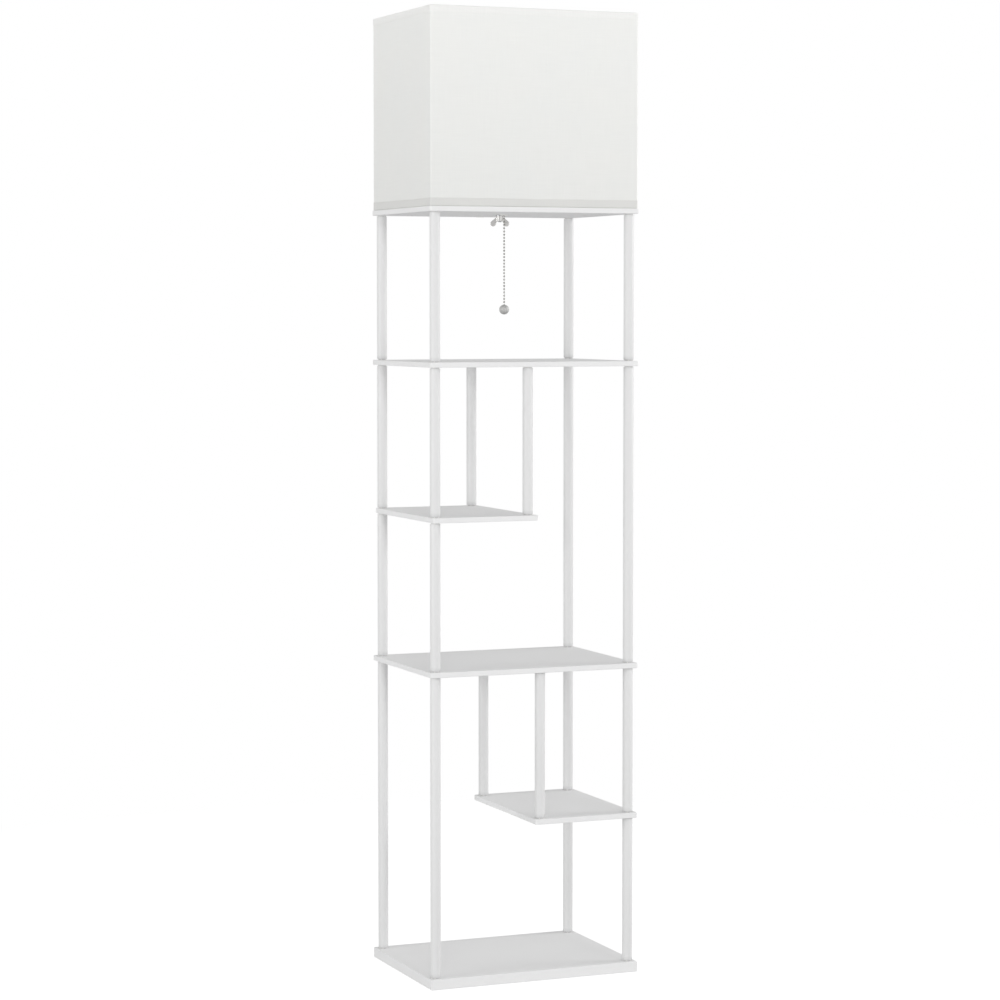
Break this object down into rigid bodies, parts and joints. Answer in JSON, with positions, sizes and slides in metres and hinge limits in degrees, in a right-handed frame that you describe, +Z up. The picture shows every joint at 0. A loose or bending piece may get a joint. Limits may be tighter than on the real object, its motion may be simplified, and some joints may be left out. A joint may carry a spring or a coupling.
{
  "type": "shelf floor lamp",
  "caption": "Tall open shelf tower of boards on round posts, with a rectangular fabric shade on top and a bead pull chain under the lamp plate.",
  "frame": {"origin": "centre of the base board's underside, on the floor", "axes": "+Z up, +X right along the wide side, -Y towards the front"},
  "size_m": [0.35, 0.26, 1.51],
  "materials": {
    "painted_board": "satin white paint on MDF",
    "powder_coated_tube": "satin white powder coat",
    "nylon": "natural nylon",
    "zinc_plated_steel": "bright zinc plate",
    "nickel_plated_nut": "bright nickel plate",
    "nickel_plated_chain": "nickel plate",
    "satin_nickel_ball": "satin nickel plate",
    "holder_plastic": "white moulded thermoset",
    "brass": "plain brass",
    "bushing_plastic": "white moulded nylon",
    "linen": "plain-weave linen on a stiff backing",
    "linen_hem": "folded plain-weave linen tape",
    "coated_wire": "white powder coat",
    "opal_globe": "opal polycarbonate",
    "bulb_plastic": "white polycarbonate",
    "bulb_metal": "nickel-plated screw base"
  },
  "bodies": {
    "stand": {"base_board": "painted_board", "base_bolts": "zinc_plated_steel", "bulb_base": "bulb_metal", "bulb_contact": "brass", "bulb_globe": "opal_globe", "bulb_housing": "bulb_plastic", "centre_contact": "brass", "chain_bushing": "bushing_plastic", "cord_bushing": "bushing_plastic", "holder_body": "holder_plastic", "holder_stud": "zinc_plated_steel", "inner_post_screws": "powder_coated_tube", "lamp_plate": "painted_board", "lower_half_shelf": "painted_board", "middle_shelf": "painted_board", "plate_screws": "zinc_plated_steel", "post_base_left_back": "powder_coated_tube", "post_base_left_front": "powder_coated_tube", "post_base_right_back": "powder_coated_tube", "post_base_right_front": "powder_coated_tube", "post_lower_inner_back": "powder_coated_tube", "post_lower_inner_front": "powder_coated_tube", "post_lower_right_back": "powder_coated_tube", "post_lower_right_front": "powder_coated_tube", "post_middle_left_back": "powder_coated_tube", "post_middle_left_front": "powder_coated_tube", "post_middle_right_back": "powder_coated_tube", "post_middle_right_front": "powder_coated_tube", "post_plugs": "nylon", "post_top_left_back": "powder_coated_tube", "post_top_left_front": "powder_coated_tube", "post_top_right_back": "powder_coated_tube", "post_top_right_front": "powder_coated_tube", "post_upper_inner_back": "powder_coated_tube", "post_upper_inner_front": "powder_coated_tube", "post_upper_left_back": "powder_coated_tube", "post_upper_left_front": "powder_coated_tube", "screw_liner": "brass", "shade_bottom_hem": "linen_hem", "shade_fitter": "coated_wire", "shade_ring": "holder_plastic", "shade_skin": "linen", "shade_top_hem": "linen_hem", "shade_top_wire": "coated_wire", "through_studs": "zinc_plated_steel", "top_shelf": "painted_board", "upper_half_shelf": "painted_board", "washer": "zinc_plated_steel", "wing_nut": "nickel_plated_nut"},
    "pull_run": {"switch_plunger": "nylon", "chain_upper": "nickel_plated_chain"},
    "swing_link": {"chain_link": "nickel_plated_chain"},
    "hanging_chain": {"chain_lower": "nickel_plated_chain", "pull_ball": "satin_nickel_ball"}
  },
  "joints": [
    {"name": "chain_pull", "type": "slide", "parent": "stand", "child": "pull_run", "axis": [0, 0, -1], "range_m": [0, 0.008], "stiffness_N_per_m": 600, "springref_m": -0.003},
    {"name": "chain_swing_fore_aft", "type": "hinge", "parent": "pull_run", "child": "swing_link", "pos_m": [0, 0, 1.1919], "axis": [1, 0, 0], "range_deg": [-45, 30]},
    {"name": "chain_swing_sideways", "type": "hinge", "parent": "swing_link", "child": "hanging_chain", "pos_m": [0, 0, 1.18684], "axis": [0, 1, 0], "range_deg": [-45, 45]}
  ]
}
